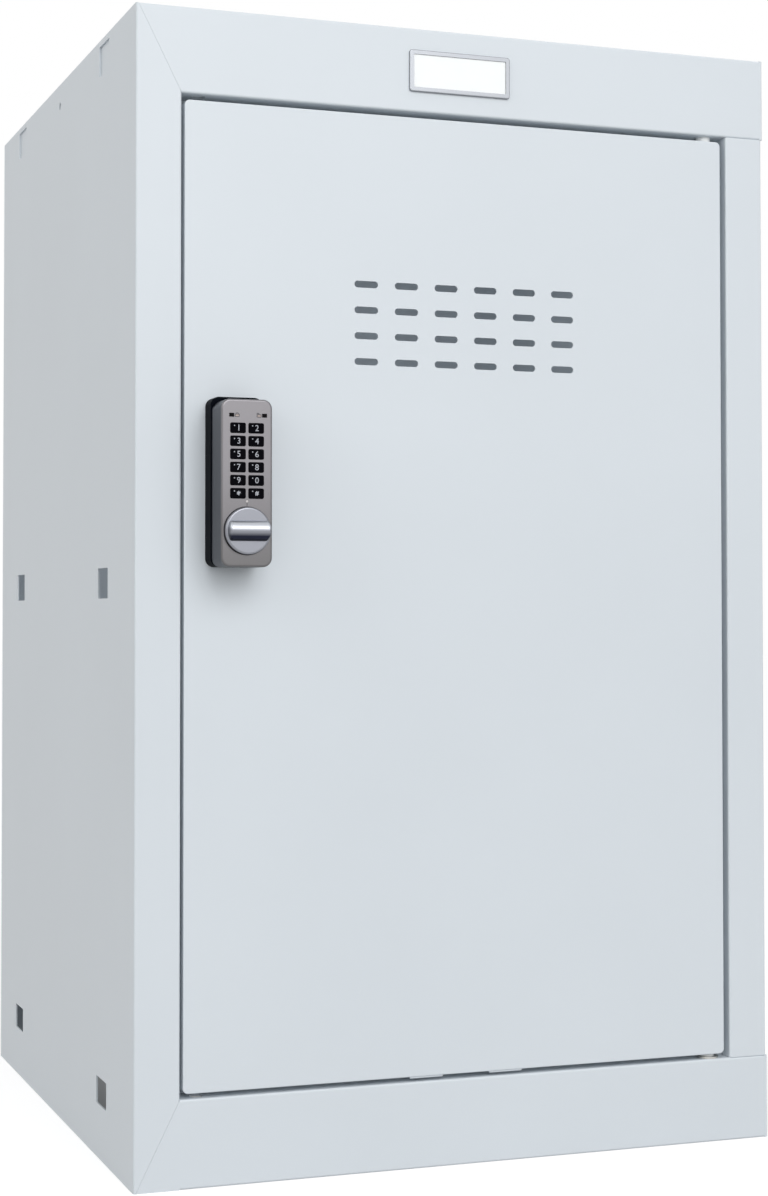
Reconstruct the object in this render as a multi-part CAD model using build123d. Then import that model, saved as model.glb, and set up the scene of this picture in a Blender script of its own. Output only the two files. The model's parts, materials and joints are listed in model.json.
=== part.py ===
from build123d import *
import os

# A tall single-door steel locker with a push-button lock. Millimetres.
# The origin is the middle of the footprint on the floor. X is to the right, Y to the back, Z up.
# The frame's front face is the plane Y = -depth / 2, and the door opens on its right-hand side.

# Cabinet
width = 400.0
depth = 400.0
height = 665.0
sheet = 1.0
inner_bend = 0.3
bend = sheet + inner_bend
nest = 0.1
left_stile = 26.6
right_stile = 26.1
top_rail = 49.2
bottom_rail = 50.0
rail_wrap = 25.0
roof_flange = 25.0
floor_flange = 12.0
rear_flange = 12.0
foot_flange = 15.0
seam = 0.12
stop_lip = 10.0
rivet_radius = 2.4
rivet_hole_drop = 14.0
rivet_hole_back = 4.0

# Slots in the sides where one locker is clipped to the next
slot_width = 25.4
slot_height = 18.0
low_slot_height = 16.0
slot_corner = 0.8
front_slot_inset = 78.4
rear_slot_inset = 71.1
top_slot_drop = 12.6
middle_slot_height = 339.3
low_slot_drop = 10.3

# Door
latch_gap = 1.8
hinge_gap = 3.9
door_top_gap = 3.5
door_bottom_gap = 2.9
door_depth = 15.0
door_sheet = 1.0
door_corner = 3.0
door_edge = 0.7
door_lip = 8.0
tongue_width = 20.5
tongue_pitch = 50.0
tongue_drop = 1.0
rib_height = 9.0
rib_length = 400.0
buffer_thickness = 2.0
buffer_radius = 3.5
buffer_gap = 0.2

# Air slots in the door
vent_columns = 6
vent_rows = 4
vent_pitch_x = 25.0
vent_pitch_z = 15.0
vent_length = 14.6
vent_height = 4.0
round_end_flat = 0.01
vent_drop = 99.8

# Door pivots
pivot_from_door_edge = 8.0
pivot_depth = 7.7
pin_radius = 2.5
running_gap = 0.05
fitting_gap = 0.1
bush_radius = 3.9
bush_flange_radius = 4.5
bush_wall_depth = 4.0
pivot_washer_radius = 7.0
pivot_washer_thickness = 1.0
door_play = 0.3
bracket_sheet = 2.0
bracket_width = 19.0
bracket_height = 22.0
pin_head_radius = 4.0
pin_head_height = 2.4

# Badge plate
badge_width = 63.8
badge_height = 24.6
badge_centre_x = -3.9
badge_drop = 25.1
badge_thickness = 1.6
badge_rim = 2.6
badge_corner = 1.6
insert_recess = 0.5
badge_floor = 0.4

# Lock case
lock_from_door_edge = 27.5
knob_height = 367.2
case_width = 29.5
case_height = 93.1
case_below_knob = 20.0
case_corner = 5.2
case_edge = 1.2
case_wall = 1.5
base_depth = 12.0
base_width = 30.6
base_height = 95.5
base_below_knob = 19.6
base_corner = 5.0
post_radius = 2.2
post_from_end = 3.8
small_screw_radius = 1.2
small_head_radius = 2.2
small_head_height = 1.6
fixing_bolt_rise = 58.0
fixing_bolt_radius = 2.0
fixing_head_radius = 4.0
fixing_head_height = 2.6
fixing_bolt_grip = 8.0
backing_sheet = 1.5
backing_width = 42.0
backing_margin = 6.0

# Keypad
key_columns = 2
key_rows = 6
key_width = 8.7
key_height = 5.5
key_space_x = 1.8
key_space_z = 1.75
key_proud = 0.9
key_travel = 0.8
key_corner = 0.8
key_rim = 0.45
key_rim_thickness = 0.8
key_gap = 0.2
top_key_rise = 56.95
led_width = 2.7
led_height = 2.0
led_pitch = 19.0
led_shift = 0.6
led_rise = 64.1
membrane_thickness = 1.5
board_thickness = 1.6
battery_radius = 5.2
battery_length = 44.5
battery_cap = 1.0
battery_space = 0.8
battery_room = 0.9
tray_floor = 0.8

# Knob, spindle and cam
knob_radius = 13.2
knob_hole_gap = 0.3
knob_proud = 3.2
knob_skirt = 5.0
knob_edge = 1.2
grip_reach = 11.9
grip_width = 11.6
grip_height = 5.4
grip_round = 1.4
grip_root = 1.0
hub_radius = 7.0
spindle_radius = 4.0
spindle_socket = 6.0
spindle_square = 6.0
barrel_radius = 9.0
barrel_head_radius = 11.0
barrel_head = 2.0
nut_across_flats = 24.0
nut_thickness = 4.0
cam_reach = 28.0
cam_width = 14.0
cam_tip_width = 11.0
cam_thickness = 2.5
cam_clearance = 0.8
cam_screw_radius = 2.0
cam_screw_head = 4.6
cam_screw_head_height = 2.4
cam_screw_length = 9.0

# Drives in the screw heads, as shares of the head's radius and height
cross_reach = 0.6
cross_arm = 0.18
drive_depth = 0.55
hex_socket = 0.55

# How far a cutter runs past what it cuts
over = 1.0
mitre_reach = 10.0

# Places that follow from the sizes
left = -width / 2
right = width / 2
front = -depth / 2
rear = depth / 2
right_skin = right - sheet - nest
opening_left = left + left_stile
opening_right = right - right_stile
opening_bottom = bottom_rail
opening_top = height - top_rail
door_left = opening_left + latch_gap
door_right = opening_right - hinge_gap
door_bottom = opening_bottom + door_bottom_gap
door_top = opening_top - door_top_gap
door_back = front + door_depth
door_inner = front + door_sheet
stop_face = door_back + buffer_thickness + buffer_gap
stop_back = stop_face + sheet
pivot_x = door_right - pivot_from_door_edge
pivot_y = front + pivot_depth
swing_reach = Vector(pivot_from_door_edge, door_depth - pivot_depth).length + 2 * door_play
roof_left = left + sheet + nest
roof_right = right_skin - sheet - nest
back_outer = rear - sheet - nest
back_inner = back_outer - sheet
lock_x = door_left + lock_from_door_edge
key_pitch_x = key_width + key_space_x
key_pitch_z = key_height + key_space_z
key_stack = key_gap + key_rim_thickness + key_travel + key_gap
board_stack = membrane_thickness + fitting_gap + board_thickness + fitting_gap
battery_pitch = 2 * battery_radius + battery_space
battery_stack = tray_floor + fitting_gap + 2 * battery_radius + battery_room
case_depth = case_wall + key_stack + board_stack + battery_stack
base_front = front - base_depth
case_front = base_front - case_depth
case_inner = case_front + case_wall
case_bottom = knob_height - case_below_knob
case_top = case_bottom + case_height
base_bottom = knob_height - base_below_knob
base_top = base_bottom + base_height
backing_back = door_inner + fitting_gap + backing_sheet
cam_front = stop_back + cam_clearance
cam_back = cam_front + cam_thickness
membrane_front = case_inner + key_stack
membrane_back = membrane_front + membrane_thickness
board_front = membrane_back + fitting_gap
board_back = board_front + board_thickness
knob_back = case_front + knob_skirt
hub_back = base_front - barrel_head - fitting_gap


def block(x0, x1, y0, y1, z0, z1):
    """A box between two corners."""
    centre = ((x0 + x1) / 2, (y0 + y1) / 2, (z0 + z1) / 2)
    return Pos(*centre) * Box(x1 - x0, y1 - y0, z1 - z0)


def rod_y(x, z, radius, y0, y1):
    """A round bar along Y."""
    return Pos(x, (y0 + y1) / 2, z) * Rot(90, 0, 0) * Cylinder(radius, y1 - y0)


def rod_z(x, y, radius, z0, z1):
    """A round bar along Z."""
    return Pos(x, y, (z0 + z1) / 2) * Cylinder(radius, z1 - z0)


def plate_y(x, z, size_x, size_z, corner, y0, y1):
    """A plate with rounded corners that lies square to Y."""
    outline = RectangleRounded(size_x, size_z, corner)
    return extrude(Plane((x, y1, z), x_dir=(1, 0, 0), z_dir=(0, -1, 0)) * outline, amount=y1 - y0)


def slot_x(y, z, size_y, size_z):
    """A cutter for a rectangular slot through either side panel."""
    outline = RectangleRounded(size_y, size_z, slot_corner)
    return Plane((0, y, z), x_dir=(0, 1, 0), z_dir=(1, 0, 0)) * outline


def folded(skin, thickness):
    """The section of a folded sheet. Its skin runs through the points, and the sheet lies on their left."""
    points = [Vector(x, y) for x, y in skin]
    ways = [(b - a).normalized() for a, b in zip(points, points[1:])]
    sides = [Vector(-way.Y, way.X) for way in ways]
    inner = [points[0] + sides[0] * thickness]
    skin_radii = []
    inner_radii = []
    for corner in range(1, len(points) - 1):
        before = sides[corner - 1]
        after = sides[corner]
        inner.append(points[corner] + (before + after) * (thickness / (1 + before.dot(after))))
        turns_left = ways[corner - 1].cross(ways[corner]).Z > 0
        skin_radii.append(bend if turns_left else bend - thickness)
        inner_radii.append(bend - thickness if turns_left else bend)
    inner.append(points[-1] + sides[-1] * thickness)
    outer_line = FilletPolyline(*points, radius=skin_radii)
    inner_line = FilletPolyline(*inner, radius=inner_radii)
    ends = [Line(points[0], inner[0]), Line(points[-1], inner[-1])]
    return make_face([*outer_line.edges(), *inner_line.edges(), *ends])


def along_x(section, x0, x1):
    """A section drawn in Y and Z, pushed along X."""
    return extrude(Plane.YZ.offset(x0) * section, amount=x1 - x0)


def along_z(section, z0, z1):
    """A section drawn in X and Y, pushed along Z."""
    return extrude(Pos(0, 0, z0) * section, amount=z1 - z0)


def mitre(keep_rail, at_top):
    """The wedge that leaves one half of a mitred left-hand corner of the frame."""
    outer_z = height if at_top else 0.0
    inner_z = opening_top if at_top else opening_bottom
    away = mitre_reach if at_top else -mitre_reach
    half = seam / 2 if keep_rail else -seam / 2
    start = (left + bend + half, outer_z)
    end = (opening_left + half, inner_z)
    if keep_rail:
        past_left = left - mitre_reach
        corners = [start, end, (end[0], inner_z - away), (past_left, inner_z - away),
                   (past_left, outer_z + away), (start[0], outer_z + away)]
    else:
        past_lip = opening_left + stop_lip + mitre_reach
        corners = [start, end, (past_lip, inner_z), (past_lip, outer_z + away), (start[0], outer_z + away)]
    outline = make_face(Polyline(*corners, close=True))
    deep = sheet + nest if keep_rail else stop_back - front + nest
    behind = Plane((0, front + deep, 0), x_dir=(1, 0, 0), z_dir=(0, -1, 0))
    return extrude(behind * outline, amount=deep + mitre_reach)


def side_slots(deep_x):
    """Cutters for the six slots and the rivet hole of a side panel, deep_x to each side of X = 0."""
    centres = [front + front_slot_inset, rear - rear_slot_inset]
    rows = [(height - top_slot_drop, slot_height),
            (middle_slot_height, slot_height),
            (opening_bottom - low_slot_drop, low_slot_height)]
    cutters = []
    for y in centres:
        for z, tall in rows:
            cutters.append(extrude(slot_x(y, z, slot_width, tall), amount=deep_x, both=True))
    return cutters


def rivet_hole(x):
    """A cutter for the hole that is riveted through a side and the roof's flange."""
    return Pos(x, rivet_hole_back, height - rivet_hole_drop) * Rot(0, 90, 0) * Cylinder(rivet_radius,
                                                                                        8 * sheet)


def foot(inside, outside):
    """The flange at the foot of a side panel."""
    return block(inside, outside, front + foot_flange + seam, rear - rear_flange - seam, 0, sheet)


def cross_recess(x, z, head_radius, head_back, head_height):
    """A cutter for the cross in a screw head that faces the back."""
    reach = cross_reach * head_radius
    arm = cross_arm * head_radius
    bottom = head_back - drive_depth * head_height
    return block(x - reach, x + reach, bottom, head_back + over, z - arm, z + arm) \
        + block(x - arm, x + arm, bottom, head_back + over, z - reach, z + reach)


def hexagon(x, z, flat_radius, y0, y1):
    """A hexagonal bar along Y."""
    outline = RegularPolygon(flat_radius, 6, major_radius=False)
    return extrude(Plane((x, y1, z), x_dir=(1, 0, 0), z_dir=(0, -1, 0)) * outline, amount=y1 - y0)


def left_side_panel():
    section = folded([(left + rear_flange, rear), (left, rear), (left, front), (opening_left, front),
                      (opening_left, stop_face), (opening_left + stop_lip, stop_face)], sheet)
    panel = along_z(section, 0, height)
    panel -= mitre(False, True)
    panel -= mitre(False, False)
    panel += foot(left + sheet / 2, left + foot_flange)
    for cutter in side_slots(4 * sheet):
        panel -= Pos(left, 0, 0) * cutter
    return panel - rivet_hole(left)


def right_side_panel():
    section = folded([(opening_right + stop_lip, stop_back), (opening_right, stop_back),
                      (opening_right, front), (right_skin, front), (right_skin, rear),
                      (right_skin - rear_flange, rear)], sheet)
    panel = along_z(section, 0, height)
    for z0, z1 in [(-over, opening_bottom + seam), (opening_top - seam, height + over)]:
        panel -= block(opening_right - over, right_skin - sheet, front - over, stop_back + over, z0, z1)
        panel -= block(opening_right - over, right + over, front - over, front + bend + nest, z0, z1)
    panel += foot(right_skin - foot_flange, right_skin - sheet / 2)
    for cutter in side_slots(4 * sheet):
        panel -= Pos(right_skin, 0, 0) * cutter
    return panel - rivet_hole(right_skin)


def rail(z0, z1):
    """A front rail, wrapped round the right-hand corner of the cabinet."""
    section = folded([(left, front), (right, front), (right, front + rail_wrap)], sheet)
    return along_z(section, z0, z1)


def pivot_holes(z):
    """Cutters for the pivot hole on the right and the spare one on the left."""
    reach = 4 * sheet
    return [rod_z(x, pivot_y, bush_radius + fitting_gap, z - reach, z + reach) for x in (pivot_x, -pivot_x)]


def top_panel():
    fold = folded([(rear, height - roof_flange), (rear, height), (front, height), (front, opening_top),
                   (stop_face, opening_top), (stop_face, opening_top - stop_lip)], sheet)
    roof = along_x(fold, roof_left, roof_right)
    clear = stop_back + over
    lip_end = opening_top - stop_lip - over
    joint = opening_left + seam
    roof -= block(left, joint, front - over, clear, lip_end, height - bend)
    roof -= block(roof_right - seam, right, front - over, clear, lip_end, height - bend)
    roof -= block(left, opening_left + stop_lip + seam, front - over, clear, lip_end, opening_top)
    roof -= block(pivot_x - swing_reach, right, front - over, clear, lip_end, opening_top)
    roof -= block(left, left + bend, front - over, front + bend, 0, height + over)
    for x0, x1 in [(left, left + rear_flange + seam), (right_skin - rear_flange - seam, right)]:
        roof -= block(x0, x1, rear - bend, rear + over, 0, height + over)
    strip = rail(opening_top, height)
    strip -= block(left - over, right + over, front + bend, rear, height - 2 * bend, height + over) \
        - block(right_skin, right + over, front, rear, 0, height + 2 * over)
    strip -= block(joint, roof_right - seam, front - over, front + 2 * bend, opening_top - over, height + over)
    strip -= block(left - over, joint, front - over, front + 2 * bend, height - bend, height + over)
    panel = roof + strip
    for x0, x1 in [(roof_left, roof_left + sheet), (roof_right - sheet, roof_right)]:
        panel += block(x0, x1, front + bend + sheet, back_inner - nest, height - roof_flange,
                       height - sheet / 2)
    panel -= mitre(True, True)
    for cutter in pivot_holes(opening_top):
        panel -= cutter
    return panel - rivet_hole(roof_left)


def bottom_panel():
    fold = folded([(back_inner - nest, opening_bottom - roof_flange), (back_inner - nest, opening_bottom),
                   (front, opening_bottom), (front, 0), (front + foot_flange, 0)], sheet)
    panel = along_x(fold, roof_left, roof_right)
    panel -= block(left, left + foot_flange + seam, front + 2 * bend, front + foot_flange + over, -over,
                   2 * sheet)
    panel -= block(left, opening_left, front + sheet + nest, stop_back + seam, opening_bottom - bend,
                   opening_bottom + over)
    panel -= block(left, left + bend, front - over, front + bend, -over, opening_bottom + over)
    strip = rail(0, opening_bottom)
    strip -= block(opening_left, roof_right - seam, front - over, front + 2 * bend, -over,
                   opening_bottom + over)
    panel += strip
    for x0, x1 in [(roof_left, roof_left + sheet), (roof_right - sheet, roof_right)]:
        panel += block(x0, x1, stop_back + sheet, back_inner - nest - bend, opening_bottom - sheet / 2,
                       opening_bottom + floor_flange)
    panel -= mitre(True, False)
    for cutter in pivot_holes(opening_bottom):
        panel -= cutter
    return panel


def back_panel():
    inset = bend - sheet
    return block(roof_left + inset, roof_right - inset, back_inner, back_outer, sheet + nest,
                 height - bend - nest)


def badge_plate(inset, y0, y1):
    """A rounded plate of the badge, smaller than its outline by the inset all round."""
    return plate_y(badge_centre_x, height - badge_drop, badge_width - 2 * inset, badge_height - 2 * inset,
                   badge_corner - inset / 2, y0, y1)


def badge_frame():
    frame = badge_plate(0, front - badge_thickness, front)
    rim_edges = frame.faces().sort_by(Axis.Y)[0].edges()
    frame = fillet(rim_edges, badge_thickness / 3)
    return frame - badge_plate(badge_rim, front - badge_thickness - over, front - badge_floor)


def badge_insert():
    recess = front - badge_thickness + insert_recess
    return badge_plate(badge_rim + fitting_gap, recess, front - badge_floor)


def top_pivot_bush():
    bush = rod_z(pivot_x, pivot_y, bush_flange_radius, door_top + door_play, opening_top)
    bush += rod_z(pivot_x, pivot_y, bush_radius, opening_top, opening_top + bush_wall_depth)
    return bush - rod_z(pivot_x, pivot_y, pin_radius + running_gap, door_top, height)


def bottom_pivot_bush():
    on_washer = opening_bottom + pivot_washer_thickness
    bush = rod_z(pivot_x, pivot_y, bush_flange_radius, on_washer, door_bottom - door_play)
    bush += rod_z(pivot_x, pivot_y, bush_radius, opening_bottom - bush_wall_depth, on_washer)
    return bush - rod_z(pivot_x, pivot_y, pin_radius + running_gap, 0, door_bottom)


def bottom_pivot_washer():
    washer = rod_z(pivot_x, pivot_y, pivot_washer_radius, opening_bottom,
                   opening_bottom + pivot_washer_thickness)
    return washer - rod_z(pivot_x, pivot_y, bush_radius + fitting_gap, 0, door_bottom)


def door_buffers():
    """Soft pads on the stop lips: two on the lock side and one under the roof."""
    side_x = opening_left + stop_lip / 2
    high_z = opening_top - stop_lip / 2
    places = [(side_x, opening_bottom + (opening_top - opening_bottom) / 5),
              (side_x, opening_top - (opening_top - opening_bottom) / 5),
              (0.0, high_z)]
    return Compound(children=[rod_y(x, z, buffer_radius, stop_face - buffer_thickness, stop_face)
                              for x, z in places])


def vent_places():
    """The centres of the air slots, row by row."""
    places = []
    for row in range(vent_rows):
        for column in range(vent_columns):
            x = (column - (vent_columns - 1) / 2) * vent_pitch_x
            places.append((x, door_top - vent_drop - row * vent_pitch_z))
    return places


def tongue(side, grow):
    """One of the two tongues of the rib that come through the door's lower edge."""
    half = tongue_width / 2 + grow
    x = side * tongue_pitch / 2
    back = door_inner + fitting_gap + sheet
    return block(x - half, x + half, door_inner + fitting_gap - grow, back + grow,
                 door_bottom - tongue_drop, door_bottom + 3 * door_sheet)


def door_skin():
    """The door's tray: a flat front, edges turned back all round and lips behind."""
    x_middle = (door_left + door_right) / 2
    z_middle = (door_bottom + door_top) / 2
    size_x = door_right - door_left
    size_z = door_top - door_bottom
    tray = plate_y(x_middle, z_middle, size_x, size_z, door_corner, front, door_back)
    tray = fillet(tray.faces().sort_by(Axis.Y)[0].edges(), door_edge)
    inside = plate_y(x_middle, z_middle, size_x - 2 * door_sheet, size_z - 2 * door_sheet,
                     door_corner - door_sheet, door_inner, door_back - door_sheet)
    mouth = plate_y(x_middle, z_middle, size_x - 2 * (door_sheet + door_lip),
                    size_z - 2 * (door_sheet + door_lip),
                    door_corner, door_back - 2 * door_sheet, door_back + over)
    tray = tray - inside - mouth
    for x, z in vent_places():
        tray -= plate_y(x, z, vent_length, vent_height, vent_height / 2 - round_end_flat, front - over,
                        door_inner + over)
    tray -= rod_y(lock_x, knob_height, barrel_radius + fitting_gap, front - over, door_inner + over)
    tray -= rod_y(lock_x, knob_height + fixing_bolt_rise, fixing_bolt_radius + fitting_gap, front - over,
                  door_inner + over)
    for z in (door_bottom, door_top):
        tray -= rod_z(pivot_x, pivot_y, pin_radius + fitting_gap, z - 2 * door_sheet, z + 2 * door_sheet)
    for side in (-1, 1):
        tray -= tongue(side, fitting_gap)
    return tray


def door_rib():
    """The hat-shaped rib behind the door, whose two feet end in tongues through the lower edge."""
    foot_back = door_inner + fitting_gap + sheet
    inner_half = (tongue_pitch - tongue_width) / 2
    outer_half = (tongue_pitch + tongue_width) / 2
    y0 = door_inner + fitting_gap
    y1 = y0 + rib_height
    z0 = door_bottom + door_sheet + fitting_gap
    z1 = z0 + rib_length
    rib = block(-outer_half, outer_half, y0, foot_back, z0, z1)
    rib += block(-inner_half - sheet, inner_half + sheet, y0, y1, z0, z1)
    rib -= block(-inner_half, inner_half, y0 - over, y1 - sheet, z0 - over, z1 + over)
    for side in (-1, 1):
        rib += tongue(side, 0)
    return rib


def pivot_bracket(at_top):
    """A channel inside the door's corner that holds a pivot pin in two walls."""
    edge = door_top if at_top else door_bottom
    way = -1 if at_top else 1
    outer = edge + way * (door_sheet + fitting_gap)
    far = outer + way * bracket_height
    z0 = min(outer, far)
    z1 = max(outer, far)
    x1 = door_right - door_sheet - fitting_gap
    y0 = door_inner + fitting_gap
    y1 = door_back - door_sheet - fitting_gap
    bracket = block(x1 - bracket_width, x1, y0, y1, z0, z1)
    bracket -= block(x1 - bracket_width - over, x1 + over, y0 + bracket_sheet, y1 + over, z0 + bracket_sheet,
                     z1 - bracket_sheet)
    bracket = bracket & plate_y((door_left + door_right) / 2, (door_bottom + door_top) / 2,
                                door_right - door_left - 2 * door_sheet - 2 * fitting_gap,
                                door_top - door_bottom - 2 * door_sheet - 2 * fitting_gap,
                                door_corner - door_sheet, front, door_back)
    return bracket - rod_z(pivot_x, pivot_y, pin_radius + fitting_gap, z0 - over, z1 + over)


def pivot_pin(at_top):
    """A headed pin that stands out of the door's corner into its bush."""
    edge = door_top if at_top else door_bottom
    way = 1 if at_top else -1
    tip = opening_top + bush_wall_depth if at_top else opening_bottom - bush_wall_depth
    seat = edge - way * (door_sheet + fitting_gap + bracket_height)
    head = seat - way * pin_head_height
    pin = rod_z(pivot_x, pivot_y, pin_radius, min(seat, tip), max(seat, tip))
    return pin + rod_z(pivot_x, pivot_y, pin_head_radius, min(seat, head), max(seat, head))


def lock_backing_plate():
    """A stiffener behind the door's face, under the lock's nut and bolt."""
    z0 = base_bottom - backing_margin
    z1 = base_top + backing_margin
    x0 = max(lock_x - backing_width / 2, door_left + door_sheet + fitting_gap)
    plate = block(x0, lock_x + backing_width / 2, door_inner + fitting_gap, backing_back, z0, z1)
    plate -= rod_y(lock_x, knob_height, barrel_radius + fitting_gap, front, door_back)
    return plate - rod_y(lock_x, knob_height + fixing_bolt_rise, fixing_bolt_radius + fitting_gap, front,
                         door_back)


def post_heights():
    """The two places, low and high in the lock case, where its screws go."""
    return [case_bottom + post_from_end, case_top - post_from_end]


def lock_base():
    """The dark plastic body between the door and the metal case."""
    base = plate_y(lock_x, (base_bottom + base_top) / 2, base_width, base_height, base_corner, base_front,
                   front)
    base = fillet(base.faces().sort_by(Axis.Y)[0].edges(), case_edge)
    base -= rod_y(lock_x, knob_height, barrel_radius + fitting_gap, base_front - over, front + over)
    base -= rod_y(lock_x, knob_height + fixing_bolt_rise, fixing_bolt_radius + running_gap,
                  front - fixing_bolt_grip - over, front + over)
    for z in post_heights():
        base -= rod_y(lock_x, z, small_screw_radius + fitting_gap, base_front - over, front + over)
        base -= rod_y(lock_x, z, small_head_radius + fitting_gap, front - small_head_height - fitting_gap,
                      front + over)
    return base


def key_places():
    """The centres of the keys, row by row from the top left."""
    places = []
    for row in range(key_rows):
        for column in range(key_columns):
            x = lock_x + (column - (key_columns - 1) / 2) * key_pitch_x
            places.append((x, knob_height + top_key_rise - row * key_pitch_z))
    return places


def led_places():
    return [(lock_x + led_shift + side * led_pitch / 2, knob_height + led_rise) for side in (-1, 1)]


def lock_case():
    """The metal shell of the lock, with windows for the keys, the two lamps and the knob."""
    z_middle = (case_bottom + case_top) / 2
    case = plate_y(lock_x, z_middle, case_width, case_height, case_corner, case_front, base_front)
    case = fillet(case.faces().sort_by(Axis.Y)[0].edges(), case_edge)
    case -= plate_y(lock_x, z_middle, case_width - 2 * case_wall, case_height - 2 * case_wall,
                    case_corner - case_wall, case_inner, base_front + over)
    for z in post_heights():
        case += rod_y(lock_x, z, post_radius, case_inner - case_wall / 2, base_front)
        case -= rod_y(lock_x, z, small_screw_radius + running_gap, case_inner + case_wall, base_front + over)
    for x, z in key_places():
        case -= plate_y(x, z, key_width + 2 * key_gap, key_height + 2 * key_gap, key_corner + key_gap,
                        case_front - over, case_inner + over)
    for x, z in led_places():
        case -= block(x - led_width / 2 - fitting_gap, x + led_width / 2 + fitting_gap, case_front - over,
                      case_inner + over, z - led_height / 2 - fitting_gap, z + led_height / 2 + fitting_gap)
    return case - rod_y(lock_x, knob_height, knob_radius + knob_hole_gap, case_front - over,
                        case_inner + over)


def key(x, z):
    """A key: a cap that stands through the case, and a rim behind that keeps it in."""
    cap_front = case_front - key_proud
    cap_back = case_inner + key_gap + key_rim_thickness
    cap = plate_y(x, z, key_width, key_height, key_corner, cap_front, cap_back)
    cap = fillet(cap.faces().sort_by(Axis.Y)[0].edges(), key_proud / 3)
    rim = plate_y(x, z, key_width + 2 * key_rim, key_height + 2 * key_rim, key_corner,
                  case_inner + key_gap, cap_back)
    return cap + rim


def keypad_span():
    """The lowest and highest level of the sheet and board behind the keys."""
    low = knob_height + top_key_rise - (key_rows - 1) * key_pitch_z - key_height / 2 - key_rim
    high = knob_height + led_rise + led_height / 2 + key_rim
    return low, high


def keypad_layer(y0, y1):
    low, high = keypad_span()
    half = case_width / 2 - case_wall - fitting_gap
    return block(lock_x - half, lock_x + half, y0, y1, low, high)


def keypad_membrane():
    """The soft switch mat, cut away under the two lamps."""
    mat = keypad_layer(membrane_front, membrane_back)
    mat_top = keypad_span()[1]
    for x, z in led_places():
        mat -= block(x - led_width, x + led_width, membrane_front - over, membrane_back + over,
                     z - led_height,
                     mat_top + over)
    return mat


def led_windows():
    return Compound(children=[block(x - led_width / 2, x + led_width / 2, case_front - running_gap,
                                    board_front,
                                    z - led_height / 2, z + led_height / 2) for x, z in led_places()])


def battery_places():
    low, high = keypad_span()
    middle = (low + high) / 2
    return [(lock_x + side * battery_pitch / 2, middle) for side in (-1, 1)]


def battery_y():
    return board_back + fitting_gap + tray_floor + fitting_gap + battery_radius


def batteries():
    """Two cells side by side, each with the small cap of its positive end."""
    cells = []
    for x, z in battery_places():
        cell = rod_z(x, battery_y(), battery_radius, z - battery_length / 2,
                     z + battery_length / 2 - battery_cap)
        cells.append(cell + rod_z(x, battery_y(), battery_radius / 3, z, z + battery_length / 2))
    return Compound(children=cells)


def battery_tray():
    """The holder behind the board: a floor, two ends and a ridge between the cells."""
    z_middle = battery_places()[0][1]
    half_z = battery_length / 2 + fitting_gap
    half_x = case_width / 2 - case_wall - fitting_gap
    y0 = board_back + fitting_gap
    y1 = base_front - fitting_gap
    tray = block(lock_x - half_x, lock_x + half_x, y0, y1, z_middle - half_z - tray_floor,
                 z_middle + half_z + tray_floor)
    for x, z in battery_places():
        tray -= rod_z(x, battery_y(), battery_radius + fitting_gap, z - half_z, z + half_z)
        tray -= block(x - battery_radius - fitting_gap, x + battery_radius + fitting_gap, battery_y(),
                      y1 + over,
                      z - half_z, z + half_z)
    return tray


def case_screws():
    """The two small screws that come through the base into the posts of the case."""
    screws = []
    for z in post_heights():
        head_front = front - small_head_height
        screw = rod_y(lock_x, z, small_head_radius, head_front, front - fitting_gap)
        screw += rod_y(lock_x, z, small_screw_radius, case_inner + 2 * case_wall, head_front)
        head_back = front - fitting_gap
        screws.append(screw - cross_recess(lock_x, z, small_head_radius, head_back, small_head_height))
    return Compound(children=screws)


def lock_barrel():
    """The threaded tube that goes through the base and the door and carries the spindle."""
    barrel = rod_y(lock_x, knob_height, barrel_head_radius, base_front - barrel_head, base_front)
    barrel += rod_y(lock_x, knob_height, barrel_radius, base_front, cam_front - fitting_gap)
    return barrel - rod_y(lock_x, knob_height, spindle_radius + running_gap, case_front, cam_back)


def barrel_nut():
    """The hexagonal nut that clamps the lock to the door."""
    nut = hexagon(lock_x, knob_height, nut_across_flats / 2, backing_back, backing_back + nut_thickness)
    return nut - rod_y(lock_x, knob_height, barrel_radius + running_gap, front, door_back)


def fixing_bolt():
    """The upper bolt, from behind the door into the base."""
    z = knob_height + fixing_bolt_rise
    head_back = backing_back + fixing_head_height
    bolt = rod_y(lock_x, z, fixing_head_radius, backing_back, head_back)
    bolt += rod_y(lock_x, z, fixing_bolt_radius, front - fixing_bolt_grip, backing_back)
    socket_bottom = head_back - drive_depth * fixing_head_height
    return bolt - hexagon(lock_x, z, hex_socket * fixing_head_radius, socket_bottom, head_back + over)


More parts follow.
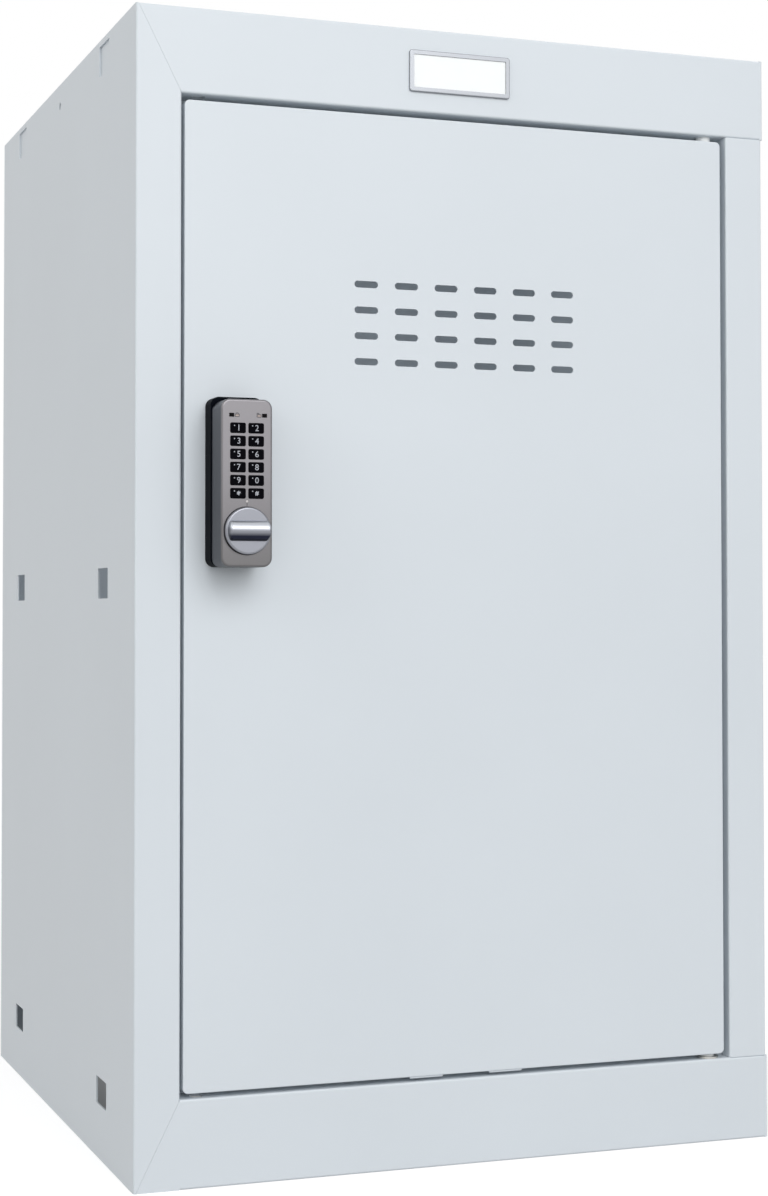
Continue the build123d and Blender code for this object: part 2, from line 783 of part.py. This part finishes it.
def knob():
    """The round knob, turned in one piece with the hub behind, and the raised bar across it."""
    knob_front = case_front - knob_proud
    rim = RadiusArc((knob_radius - knob_edge, knob_front), (knob_radius, knob_front + knob_edge), -knob_edge)
    rest = Polyline(rim @ 1, (knob_radius, knob_back), (hub_radius, knob_back), (hub_radius, hub_back),
                    (0, hub_back), (0, knob_front), rim @ 0)
    turned = Pos(lock_x, 0, knob_height) * revolve(make_face(rim + rest), Axis.Y)
    half = grip_width / 2
    root_y = knob_front + grip_root
    crown_y = knob_front - grip_height
    crown = ThreePointArc((knob_front, -half), (crown_y, 0), (knob_front, half))
    root = Polyline((knob_front, half), (root_y, half), (root_y, -half), (knob_front, -half))
    bar = along_x(make_face(crown + root), lock_x - knob_radius, lock_x + knob_radius)
    bar = Pos(0, 0, knob_height) * bar
    bar = bar & rod_y(lock_x, knob_height, grip_reach, crown_y - over, root_y)
    end_edges = [edge for edge in bar.edges() if edge.geom_type not in (GeomType.LINE, GeomType.CIRCLE)]
    bar = fillet(end_edges, grip_round)
    turned += bar
    return turned - rod_y(lock_x, knob_height, spindle_radius + running_gap, hub_back - spindle_socket,
                          hub_back + over)


def knob_spindle():
    """The shaft from the knob to the cam, square where the cam sits."""
    shaft = rod_y(lock_x, knob_height, spindle_radius, hub_back - spindle_socket + fitting_gap, cam_front)
    half = spindle_square / 2
    shaft += block(lock_x - half, lock_x + half, cam_front, cam_back, knob_height - half, knob_height + half)
    return shaft - rod_y(lock_x, knob_height, cam_screw_radius + running_gap, cam_back - cam_screw_length,
                         cam_back + over)


def lock_cam():
    """The latch cam. It hangs straight down while the lock is open."""
    half_root = cam_width / 2
    half_tip = cam_tip_width / 2
    outline = Circle(half_root) + make_face(Polyline((-half_root, 0), (half_root, 0), (half_tip, -cam_reach),
                                                     (-half_tip, -cam_reach), close=True))
    place = Plane((lock_x, cam_back, knob_height), x_dir=(1, 0, 0), z_dir=(0, -1, 0))
    cam = extrude(place * outline, amount=cam_thickness)
    tip_edges = cam.edges().filter_by(Axis.Y).group_by(Axis.Z)[0]
    cam = fillet(tip_edges, cam_tip_width / 4)
    half = spindle_square / 2 + running_gap
    return cam - block(lock_x - half, lock_x + half, cam_front - over, cam_back + over, knob_height - half,
                       knob_height + half)


def cam_screw():
    """The screw that holds the cam on the spindle."""
    head_back = cam_back + cam_screw_head_height
    screw = rod_y(lock_x, knob_height, cam_screw_head, cam_back, head_back)
    screw = fillet(screw.edges().filter_by(GeomType.CIRCLE).sort_by(Axis.Y)[-1], cam_screw_head_height / 3)
    screw -= cross_recess(lock_x, knob_height, cam_screw_head, head_back, cam_screw_head_height)
    return screw + rod_y(lock_x, knob_height, cam_screw_radius, cam_back - cam_screw_length + fitting_gap,
                         cam_back)


key_names = ["1", "2", "3", "4", "5", "6", "7", "8", "9", "0", "star", "square"]

parts = {
    "left_side_panel": left_side_panel(),
    "right_side_panel": right_side_panel(),
    "top_panel": top_panel(),
    "bottom_panel": bottom_panel(),
    "back_panel": back_panel(),
    "badge_frame": badge_frame(),
    "badge_insert": badge_insert(),
    "top_pivot_bush": top_pivot_bush(),
    "bottom_pivot_bush": bottom_pivot_bush(),
    "bottom_pivot_washer": bottom_pivot_washer(),
    "door_buffers": door_buffers(),
    "door_skin": door_skin(),
    "door_rib": door_rib(),
    "top_pivot_bracket": pivot_bracket(True),
    "bottom_pivot_bracket": pivot_bracket(False),
    "top_pivot_pin": pivot_pin(True),
    "bottom_pivot_pin": pivot_pin(False),
    "lock_backing_plate": lock_backing_plate(),
    "lock_base": lock_base(),
    "lock_case": lock_case(),
    "keypad_membrane": keypad_membrane(),
    "keypad_board": keypad_layer(board_front, board_back),
    "led_windows": led_windows(),
    "battery_tray": battery_tray(),
    "batteries": batteries(),
    "case_screws": case_screws(),
    "lock_barrel": lock_barrel(),
    "barrel_nut": barrel_nut(),
    "fixing_bolt": fixing_bolt(),
    "knob": knob(),
    "knob_spindle": knob_spindle(),
    "lock_cam": lock_cam(),
    "cam_screw": cam_screw(),
}
for label, (x, z) in zip(key_names, key_places()):
    parts[f"key_{label}"] = key(x, z)

os.makedirs("parts", exist_ok=True)
for name, solid in parts.items():
    export_step(solid, f"parts/{name}.step")
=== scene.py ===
import math

import bmesh
import bpy
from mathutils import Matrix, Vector
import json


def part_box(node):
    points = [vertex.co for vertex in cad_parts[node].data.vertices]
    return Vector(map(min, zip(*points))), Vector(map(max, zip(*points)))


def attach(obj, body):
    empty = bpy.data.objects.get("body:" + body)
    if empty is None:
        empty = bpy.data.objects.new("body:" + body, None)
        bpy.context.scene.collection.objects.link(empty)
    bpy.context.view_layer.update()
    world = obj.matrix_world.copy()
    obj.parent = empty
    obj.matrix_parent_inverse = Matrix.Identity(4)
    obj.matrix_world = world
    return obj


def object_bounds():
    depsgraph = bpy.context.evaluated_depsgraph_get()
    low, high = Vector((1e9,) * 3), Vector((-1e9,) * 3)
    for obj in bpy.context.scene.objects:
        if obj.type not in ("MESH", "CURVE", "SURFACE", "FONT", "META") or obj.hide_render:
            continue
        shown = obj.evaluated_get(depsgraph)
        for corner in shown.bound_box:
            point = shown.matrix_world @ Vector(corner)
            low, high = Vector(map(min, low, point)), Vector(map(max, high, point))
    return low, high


# A tall single-door steel locker with a push-button lock. Metres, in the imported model's own frame.
# The locker's front faces -Y, X is to the right and Z is up.

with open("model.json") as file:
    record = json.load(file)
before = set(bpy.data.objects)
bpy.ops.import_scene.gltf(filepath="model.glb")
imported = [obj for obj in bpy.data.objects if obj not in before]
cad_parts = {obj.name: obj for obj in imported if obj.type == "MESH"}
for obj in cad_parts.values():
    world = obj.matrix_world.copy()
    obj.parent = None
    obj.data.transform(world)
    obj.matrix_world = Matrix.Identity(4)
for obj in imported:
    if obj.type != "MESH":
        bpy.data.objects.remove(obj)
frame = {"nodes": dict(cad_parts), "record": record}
cad_low, cad_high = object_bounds()
nodes = frame["nodes"]

MM = 0.001

# Camera, as found from the locker's corners in the photograph
camera_place = (-0.4923, -1.3773, 0.3224)
camera_turn = 19.394
camera_tilt = 1.55
camera_lens = 65.19
camera_shift = (0.0356, -0.0374)
camera_sensor = 36.0

# Studio
floor_reach = 12.0
floor_colour = (0.5, 0.5, 0.5, 1.0)
floor_lift = (0.66, 0.66, 0.66, 1.0)
sky_strength = 0.56
sun_power = 0.74
top_power = 8.9
side_power = 11.3
fill_power = 1.2
inner_power = 0.24
plinth_power = 0.13
sun_width = 50
floor_blend = 8 * MM
white = (1.0, 1.0, 1.0, 1.0)
black = (0.0, 0.0, 0.0, 1.0)

# The lock's painted shade and highlight, by depth behind its face, by height from the case's foot and by
# height from the knob's centre
case_shade_depth = 1.1 * MM
case_shade_blend = 0.5 * MM
case_shade_height = 55 * MM
grip_height = 5.4 * MM
grip_blend = (0.3 * MM, 0.9 * MM)
grip_painted_highlight = (0.4 * MM, 2.4 * MM)
grip_painted_shade = (-1.0 * MM, -3.2 * MM)
cell_band = 8 * MM

# Printed marks
print_thickness = 0.03 * MM
figure_height = 3.3 * MM
sign_height = 2.5 * MM
sign_weight = 0.03
figure_right = 0.2 * MM
figure_up = 0.05 * MM
mark_left = 2.3 * MM
mark_up = 1.2 * MM
mark_radius = 0.34 * MM
icon_from_edge = 4.5 * MM
icon_width = 2.7 * MM
icon_body_height = 1.7 * MM
icon_drop = 1.1 * MM
icon_shackle_radius = 0.65 * MM
icon_line = 0.42 * MM
index_dot_radius = 0.62 * MM
index_dot_below_key = 1.15 * MM
index_line_width = 0.4 * MM
index_line_length = 2.0 * MM
index_gap = 0.1 * MM
arch_steps = 14
weld_reach = print_thickness / 10


def srgb(red, green, blue):
    """A colour written as it looks on screen, 0 to 255, as the linear numbers that the shader wants."""
    def linear(value):
        value /= 255
        return value / 12.92 if value <= 0.04045 else ((value + 0.055) / 1.055) ** 2.4
    return (linear(red), linear(green), linear(blue), 1.0)


def darker(colour, share):
    """That share of a linear colour."""
    return tuple(c * share for c in colour[:3]) + (1.0,)


class Signal:
    """An output of a node, which can be used in sums."""

    def __init__(self, sheet, socket):
        self.sheet = sheet
        self.socket = socket

    def maths(self, operation, first, second=None):
        inputs = {0: first} if second is None else {0: first, 1: second}
        return self.sheet.add("ShaderNodeMath", {"operation": operation}, inputs)

    def __add__(self, other):
        return self.maths("ADD", self, other)

    __radd__ = __add__

    def __mul__(self, other):
        return self.maths("MULTIPLY", self, other)

    __rmul__ = __mul__

    def __sub__(self, other):
        return self.maths("SUBTRACT", self, other)

    def __rsub__(self, other):
        return self.maths("SUBTRACT", other, self)

    def __gt__(self, other):
        return self.maths("GREATER_THAN", self, other)

    def __lt__(self, other):
        return self.maths("LESS_THAN", self, other)

    def __abs__(self):
        return self.maths("ABSOLUTE", self)

    def most(self, other):
        return self.maths("MAXIMUM", self, other)

    def sine(self):
        return self.maths("SINE", self)


class Sheet:
    """A node tree that is written from code."""

    def __init__(self, tree):
        self.tree = tree

    def feed(self, socket, value):
        if isinstance(value, Signal):
            self.tree.links.new(value.socket, socket)
        else:
            socket.default_value = value

    def add(self, kind, settings=None, inputs=None, output=0):
        """A node of that type, its settings made first, then its sockets. Returns one of its outputs."""
        node = self.tree.nodes.new(kind)
        for name, value in (settings or {}).items():
            setattr(node, name, value)
        for name, value in (inputs or {}).items():
            self.feed(node.inputs[name], value)
        return Signal(self, node.outputs[output])

    def place(self):
        """The point on the piece, in metres in the frame at rest."""
        return self.add("ShaderNodeTexCoord", output="Object")

    def axes(self, vector):
        node = self.tree.nodes.new("ShaderNodeSeparateXYZ")
        self.feed(node.inputs[0], vector)
        return [Signal(self, out) for out in node.outputs]

    def scaled(self, vector, size):
        return self.add("ShaderNodeVectorMath", {"operation": "MULTIPLY"}, {0: vector, 1: size})

    def noise(self, vector, scale, detail=2.0, roughness=0.5):
        return self.add("ShaderNodeTexNoise", {}, {"Vector": vector, "Scale": scale, "Detail": detail,
                                                   "Roughness": roughness})

    def cells(self, vector, scale, output="Distance"):
        return self.add("ShaderNodeTexVoronoi", {}, {"Vector": vector, "Scale": scale}, output)

    def ramp(self, value, low, high, out_low=0.0, out_high=1.0):
        """A value taken from one span to another, and held at its ends."""
        return self.add("ShaderNodeMapRange", {"clamp": True},
                        {"Value": value, "From Min": low, "From Max": high, "To Min": out_low,
                         "To Max": out_high})

    def mix(self, factor, first, second):
        """One colour at 0 and the other at 1."""
        return self.add("ShaderNodeMix", {"data_type": "RGBA"}, {0: factor, 6: first, 7: second}, 2)

    def bump(self, height, distance, strength):
        return self.add("ShaderNodeBump", {}, {"Strength": strength, "Distance": distance, "Height": height})


class Finish(Sheet):
    """A material with one Principled surface."""

    def __init__(self, name, **numbers):
        self.material = bpy.data.materials.new(name)
        self.material.use_nodes = True
        super().__init__(self.material.node_tree)
        self.surface = next(n for n in self.tree.nodes if n.type == "BSDF_PRINCIPLED")
        self.set(**numbers)

    def set(self, **numbers):
        sockets = {socket.name.lower().replace(" ", "_"): socket for socket in self.surface.inputs}
        for name, value in numbers.items():
            self.feed(sockets[name], value)


def powder_coat(name, light, shade):
    """Light grey powder coat: smooth satin with a fine orange peel."""
    finish = Finish(name)
    place = finish.place()
    cloud = finish.noise(place, 5.0, 3.0)
    speck = finish.noise(place, 2600.0, 2.0)
    peel = finish.noise(place, 520.0, 1.5)
    tint = finish.ramp(cloud * 0.8 + speck * 0.2, 0.35, 0.65)
    finish.set(base_color=finish.mix(tint, shade, light), roughness=0.36 + peel * 0.08 + cloud * 0.04)
    finish.set(normal=finish.bump(peel + speck * 0.15, 0.012 * MM, 0.5))
    return finish.material


def brushed(name, face, painted_shade_wall, grain_way, painted_shade_from=None, painted_shade_fade=None):
    """Satin metal with a fine grain one way. Walls behind the given plane of Y take the darker wall colour,
    which is painted shade.
    The fading is (low Z, high Z, tone at low Z), painted shade that is darker towards low Z."""
    finish = Finish(name, metallic=1.0)
    place = finish.place()
    grain = finish.noise(finish.scaled(place, grain_way), 1.0, 3.0, 0.6)
    cloud = finish.noise(place, 60.0, 2.0)
    tone = finish.mix(grain * 0.7 + cloud * 0.3, darker(face, 0.92), face)
    if painted_shade_fade is not None:
        # Painted shade: the face grows darker towards its foot.
        low, high, painted_shade_tone = painted_shade_fade
        tone = finish.mix(finish.ramp(finish.axes(place)[2], low, high), painted_shade_tone, tone)
    if painted_shade_from is not None:
        # Behind that plane the walls take the darker colour: painted shade.
        in_painted_shade = finish.ramp(finish.axes(place)[1], painted_shade_from, painted_shade_from + case_shade_blend)
        tone = finish.mix(in_painted_shade, tone, painted_shade_wall)
    finish.set(base_color=tone, roughness=0.25 + grain * 0.1)
    finish.set(normal=finish.bump(grain, 0.01 * MM, 0.4))
    return finish.material


def turned(name, colour, painted_shade_flank, bright, low, high):
    """Satin metal turned on a lathe, with a raised bar that has a painted highlight above and painted shade
    below.
    """
    finish = Finish(name, metallic=1.0)
    centre = (low + high) / 2
    place = finish.place()
    x, y, z = finish.axes(place)
    from_x = x - centre.x
    from_z = z - centre.z
    radius = finish.add("ShaderNodeMath", {"operation": "SQRT"}, {0: from_x * from_x + from_z * from_z})
    at_radius = finish.add("ShaderNodeCombineXYZ", {}, {0: radius, 1: y * 0.2, 2: 0.0})
    rings = finish.noise(at_radius, 9000.0, 2.0, 0.6)
    cloud = finish.noise(place, 140.0, 2.0)
    raised = finish.ramp(y, low.y + grip_height - grip_blend[0], low.y + grip_height - grip_blend[1])
    tone = finish.mix(rings * 0.6 + cloud * 0.4, darker(colour, 0.9), colour)
    # The bar's upper flank takes a painted highlight and its lower flank takes painted shade.
    tone = finish.mix(raised * finish.ramp(from_z, *grip_painted_highlight), tone, bright)
    tone = finish.mix(raised * finish.ramp(from_z, *grip_painted_shade), tone, painted_shade_flank)
    finish.set(base_color=tone, roughness=0.27 + rings * 0.06)
    finish.set(normal=finish.bump(rings, 0.006 * MM, 0.3))
    return finish.material


def moulded(name, colour, lighter, rough, grain=1400.0, depth=0.02 * MM, shine=0.5):
    """Moulded plastic or rubber with a fine leathery grain."""
    finish = Finish(name, specular_ior_level=shine)
    place = finish.place()
    pits = finish.cells(place, grain)
    cloud = finish.noise(place, 45.0, 3.0)
    finish.set(base_color=finish.mix(finish.ramp(cloud, 0.3, 0.7), colour, lighter),
               roughness=rough - 0.05 + cloud * 0.1)
    finish.set(normal=finish.bump(pits, depth, 0.4))
    return finish.material


def plated(name):
    """Zinc plate: bright grey with a faint crystal pattern and warm patches."""
    finish = Finish(name, metallic=1.0)
    place = finish.place()
    crystals = finish.cells(place, 320.0, "Color")
    level = finish.axes(crystals)[0]
    cloud = finish.noise(place, 70.0, 3.0)
    base = finish.mix(finish.ramp(cloud, 0.35, 0.65), srgb(190, 192, 194), srgb(200, 196, 184))
    finish.set(base_color=finish.mix(level * 0.25, base, srgb(160, 162, 165)),
               roughness=0.26 + level * 0.12 + cloud * 0.05)
    finish.set(normal=finish.bump(finish.noise(place, 2200.0), 0.008 * MM, 0.4))
    return finish.material


def circuit(name):
    """Green solder mask with paler traces and tinned pads."""
    finish = Finish(name)
    place = finish.place()
    lanes = (finish.axes(place)[0] * 3200.0).sine() > 0.55
    steps = finish.noise(finish.scaled(place, (700.0, 1.0, 260.0)), 1.0, 0.0) > 0.5
    pads = finish.cells(place, 420.0) < 0.22
    mask = finish.mix(lanes * steps, srgb(22, 92, 50), srgb(48, 128, 74))
    finish.set(base_color=finish.mix(pads, mask, srgb(196, 190, 168)), metallic=pads * 0.9,
               roughness=0.42 - pads * 0.14)
    finish.set(normal=finish.bump(lanes * steps + pads, 0.03 * MM, 0.5))
    return finish.material


def cell_sleeve(name):
    """A plain dark sleeve with a bare band at the cell's upper end."""
    finish = Finish(name)
    low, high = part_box("batteries")
    place = finish.place()
    band = finish.axes(place)[2] > high.z - cell_band
    finish.set(base_color=finish.mix(band, srgb(52, 54, 58), srgb(176, 150, 96)), metallic=band * 0.9,
               roughness=0.3 + finish.noise(place, 300.0) * 0.1)
    return finish.material


case_low, case_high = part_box("lock_case")
knob_low, knob_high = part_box("knob")
# Painted shade: the case's colour darkens towards its foot.
case_painted_shade = (case_low.z, case_low.z + case_shade_height, srgb(103, 102, 103))

finishes = {
    "body_paint": powder_coat("body_paint", srgb(220, 227, 233), srgb(217, 224, 230)),
    "badge_metal": brushed("badge_metal", srgb(150, 153, 158), srgb(122, 125, 130), (60.0, 60.0, 3500.0)),
    "badge_blank": moulded("badge_blank", srgb(250, 254, 255), srgb(252, 255, 255), 0.3, 900.0, 0.004 * MM),
    "white_nylon": moulded("white_nylon", srgb(226, 228, 228), srgb(236, 238, 238), 0.45),
    "zinc_steel": plated("zinc_steel"),
    "buffer_rubber": moulded("buffer_rubber", srgb(34, 34, 36), srgb(48, 48, 50), 0.75, shine=0.3),
    "black_plastic": moulded("black_plastic", srgb(5, 8, 14), srgb(11, 14, 21), 0.4, shine=0.01),
    # The case's side walls are painted dark as painted shade, and the case darkens towards its foot as
    # painted shade.
    "satin_metal": brushed("satin_metal", srgb(123, 121, 124), srgb(50, 52, 62), (2600.0, 2600.0, 70.0),
                           case_low.y + case_shade_depth, case_painted_shade),
    "switch_rubber": moulded("switch_rubber", srgb(120, 122, 126), srgb(134, 136, 140), 0.6),
    "circuit_board": circuit("circuit_board"),
    "lamp_window": moulded("lamp_window", srgb(6, 6, 8), srgb(12, 11, 14), 0.12, 500.0, 0.002 * MM, 0.04),
    "battery_sleeve": cell_sleeve("battery_sleeve"),
    "key_plastic": moulded("key_plastic", srgb(4, 4, 8), srgb(9, 9, 14), 0.42, 2400.0, shine=0.02),
    # The knob's bar gets a painted highlight on top and painted shade on its lower flank.
    "knob_metal": turned("knob_metal", srgb(138, 140, 147), srgb(36, 38, 52), srgb(192, 195, 202), knob_low,
                         knob_high),
}
for part in frame["record"]["subparts"]:
    mesh = nodes[part["node"]].data
    mesh.materials.clear()
    mesh.materials.append(finishes[part["material_slot"]])


def piece(name, points, faces, finish, body):
    """A piece of the lock from points and faces in the frame, riding on its body."""
    mesh = bpy.data.meshes.new(name)
    mesh.from_pydata(points, [], faces)
    mesh.validate()
    made = bpy.data.objects.new(name, mesh)
    bpy.context.scene.collection.objects.link(made)
    mesh.materials.append(finish)
    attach(made, body)
    return made


def disc_points(x, z, radius, count=24):
    turn = 2 * math.pi / count
    return [(x + radius * math.cos(i * turn), z + radius * math.sin(i * turn)) for i in range(count)]


def bar_points(x0, x1, z0, z1):
    return [(x0, z0), (x1, z0), (x1, z1), (x0, z1)]


def arch_points(x, z, radius, line):
    """A half ring about a centre, open below."""
    steps = [math.pi * i / arch_steps for i in range(arch_steps + 1)]
    outer = [(x + (radius + line / 2) * math.cos(a), z + (radius + line / 2) * math.sin(a)) for a in steps]
    inner = [(x + (radius - line / 2) * math.cos(a), z + (radius - line / 2) * math.sin(a)) for a in steps]
    return outer + inner[::-1]


def frame_points(x0, x1, z0, z1, line):
    """The four bars of a drawn rectangle, end to side."""
    return [bar_points(x0, x1, z0, z0 + line), bar_points(x0, x1, z1 - line, z1),
            bar_points(x0, x0 + line, z0 + line, z1 - line), bar_points(x1 - line, x1, z0 + line, z1 - line)]


def prisms(outlines, face_y, points, faces):
    """Adds a thin closed print to the points and faces for each outline, a loop of X and Z."""
    for outline in outlines:
        count = len(outline)
        ahead = [len(points) + i for i in range(count)]
        behind = [i + count for i in ahead]
        points += [(x, face_y - print_thickness, z) for x, z in outline]
        points += [(x, face_y + print_thickness, z) for x, z in outline]
        faces += [ahead, behind[::-1]]
        for i in range(count):
            after = (i + 1) % count
            faces.append([ahead[i], behind[i], behind[after], ahead[after]])


def printed(name, outlines, face_y, finish, body):
    """Flat prints of those outlines that stand a hair proud of the plane Y = face_y."""
    points = []
    faces = []
    prisms(outlines, face_y, points, faces)
    return piece(name, points, faces, finish, body)


def figure(name, text, tall, weight, x, z, face_y, finish, body):
    """A printed figure with a small round mark at its upper left, on the face Y = face_y."""
    curve = bpy.data.curves.new(name, "FONT")
    curve.body = text
    curve.extrude = print_thickness
    curve.offset = weight
    helper = bpy.data.objects.new(name + ".outline", curve)
    bpy.context.scene.collection.objects.link(helper)
    bpy.context.view_layer.update()
    drawn = bpy.data.meshes.new_from_object(helper.evaluated_get(bpy.context.evaluated_depsgraph_get()))
    bpy.data.objects.remove(helper)
    joined = bmesh.new()
    joined.from_mesh(drawn)
    bmesh.ops.remove_doubles(joined, verts=joined.verts, dist=weld_reach)
    joined.verts.index_update()
    across = [v.co.x for v in joined.verts]
    upward = [v.co.y for v in joined.verts]
    middle_x = (min(across) + max(across)) / 2
    middle_z = (min(upward) + max(upward)) / 2
    size = tall / (max(upward) - min(upward))
    points = [(x + (v.co.x - middle_x) * size, face_y - v.co.z, z + (v.co.y - middle_z) * size)
              for v in joined.verts]
    faces = [[v.index for v in f.verts] for f in joined.faces]
    joined.free()
    mark = disc_points(x - figure_right - mark_left, z - figure_up + mark_up, mark_radius, 16)
    prisms([mark], face_y, points, faces)
    return piece(name, points, faces, finish, body)


ink = moulded("figure_ink", srgb(172, 176, 184), srgb(188, 191, 198), 0.5, 3000.0, 0.003 * MM)
pale_ink = moulded("pale_ink", srgb(206, 202, 200), srgb(216, 212, 210), 0.5, 3000.0, 0.003 * MM)
sign_ink = moulded("sign_ink", srgb(172, 158, 153), srgb(184, 170, 165), 0.5, 3000.0, 0.003 * MM)
dark_ink = moulded("dark_ink", srgb(64, 62, 66), srgb(78, 76, 80), 0.5, 3000.0, 0.003 * MM)

signs = {"star": ("*", sign_height, sign_weight), "square": ("#", sign_height, sign_weight)}
for name in nodes:
    if name.startswith("key_"):
        low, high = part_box(name)
        label = name[4:]
        text, tall, weight = signs.get(label, (label, figure_height, 0.0))
        x = (low.x + high.x) / 2 + figure_right
        z = (low.z + high.z) / 2 + figure_up
        figure("figure_" + label, text, tall, weight, x, z, low.y, ink, name)

lamps_low, lamps_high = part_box("led_windows")
lamp_z = (lamps_low.z + lamps_high.z) / 2
lock_x = (case_low.x + case_high.x) / 2
for name, side in [("icon_locked", 1), ("icon_unlocked", -1)]:
    lamp_edge = lamps_low.x if side > 0 else lamps_high.x
    icon_x = lamp_edge + side * icon_from_edge
    x0 = icon_x - icon_width / 2
    x1 = icon_x + icon_width / 2
    z0 = lamp_z - icon_drop
    z1 = z0 + icon_body_height
    lean = icon_shackle_radius if name == "icon_unlocked" else 0.0
    shackle = arch_points(icon_x - lean, z1, icon_shackle_radius, icon_line)
    printed(name, frame_points(x0, x1, z0, z1, icon_line) + [shackle], case_low.y, dark_ink, "door")
    inside = bar_points(x0 + icon_line, x1 - icon_line, z0 + icon_line, z1 - icon_line)
    printed(name + "_fill", [inside], case_low.y, sign_ink, "door")

last_low, last_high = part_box("key_star")
dot_z = last_low.z - index_dot_below_key
printed("index_dot", [disc_points(lock_x, dot_z, index_dot_radius)], case_low.y, pale_ink, "door")
line_top = dot_z - index_dot_radius - index_gap
index_line = bar_points(lock_x - index_line_width / 2, lock_x + index_line_width / 2,
                        line_top - index_line_length, line_top)
printed("index_line", [index_line], case_low.y, dark_ink, "door")

# Studio: a pale floor that keeps the shadow and runs into a white background
def seen_directly(sheet):
    """1 for what the camera sees itself or in metal or glass, and 0 for the light that the object gets."""
    path = sheet.tree.nodes.new("ShaderNodeLightPath")
    camera_ray, glossy_ray, clear_ray = [Signal(sheet, path.outputs[k]) for k in
                                         ("Is Camera Ray", "Is Glossy Ray", "Is Transmission Ray")]
    return camera_ray.most(glossy_ray).most(clear_ray)


floor_mesh = bpy.data.meshes.new("floor")
floor_mesh.from_pydata([(-floor_reach, -floor_reach, 0), (floor_reach, -floor_reach, 0),
                        (floor_reach, floor_reach, 0), (-floor_reach, floor_reach, 0)], [], [(0, 1, 2, 3)])
floor = bpy.data.objects.new("floor", floor_mesh)
bpy.context.scene.collection.objects.link(floor)
ground = Finish("floor_white", roughness=1.0, specular_ior_level=0.0, base_color=floor_colour,
                emission_strength=1.0)
ground_x, ground_y = ground.axes(ground.place())[:2]
# The glow is left out under the locker, which paints the floor there darker as shade; it shows only the
# light that reaches it.
clear_of_locker = ground.ramp(abs(ground_x).most(abs(ground_y)), cad_high.x - floor_blend, cad_high.x)
ground.set(emission_color=ground.mix(seen_directly(ground) * clear_of_locker, black, floor_lift))
floor_mesh.materials.append(ground.material)

world = bpy.data.worlds.new("studio")
bpy.context.scene.world = world
world.use_nodes = True
sky = Sheet(world.node_tree)
background = next(n for n in sky.tree.nodes if n.type == "BACKGROUND")
background.inputs["Color"].default_value = white
sky.feed(background.inputs["Strength"], sky.ramp(seen_directly(sky), 0.0, 1.0, sky_strength, 1.0))


def lamp(name, kind, place, aim, power, colour=(1.0, 1.0, 1.0), size=None, unseen=False):
    """A lamp that points at a place. An unseen one gives light, but doesn't show itself."""
    data = bpy.data.lights.new(name, kind)
    data.energy = power
    data.color = colour
    if kind == "AREA":
        data.shape = "RECTANGLE"
        data.size, data.size_y = size
    else:
        data.angle = size
    made = bpy.data.objects.new(name, data)
    bpy.context.scene.collection.objects.link(made)
    made.visible_camera = not unseen
    made.visible_glossy = not unseen
    made.location = place
    made.rotation_euler = (Vector(aim) - Vector(place)).to_track_quat("-Z", "Y").to_euler()


middle = (cad_low + cad_high) / 2
lamp("key_lamp", "SUN", (0.4, -3.0, 1.4), (0, 0, 0), sun_power, size=math.radians(sun_width))
lamp("top_lamp", "AREA", (-0.1, -1.9, 1.35), middle, top_power, size=(1.2, 0.9))
lamp("side_lamp", "AREA", (-2.5, -0.8, 1.7), middle, side_power, (1.0, 1.0, 0.97), (1.2, 1.8))
lamp("front_fill", "AREA", (-1.3, -2.6, 0.9), middle, fill_power, size=(1.0, 1.2))
lamp("inner_lamp", "AREA", (-0.1, -0.14, 0.38), (0.1, 0.2, 0.38), inner_power, size=(0.12, 0.4), unseen=True)
lamp("plinth_lamp", "AREA", (0.0, 0.0, 0.04), (0.0, 0.0, 0.0), plinth_power, size=(0.3, 0.3), unseen=True)

camera_data = bpy.data.cameras.new("camera")
camera_data.sensor_width = camera_sensor
camera_data.lens = camera_lens
camera_data.shift_x, camera_data.shift_y = camera_shift
camera = bpy.data.objects.new("camera", camera_data)
bpy.context.scene.collection.objects.link(camera)
camera.location = camera_place
camera.rotation_euler = (math.radians(90 + camera_tilt), 0.0, math.radians(-camera_turn))
bpy.context.scene.camera = camera

bpy.context.scene.view_settings.view_transform = "Standard"
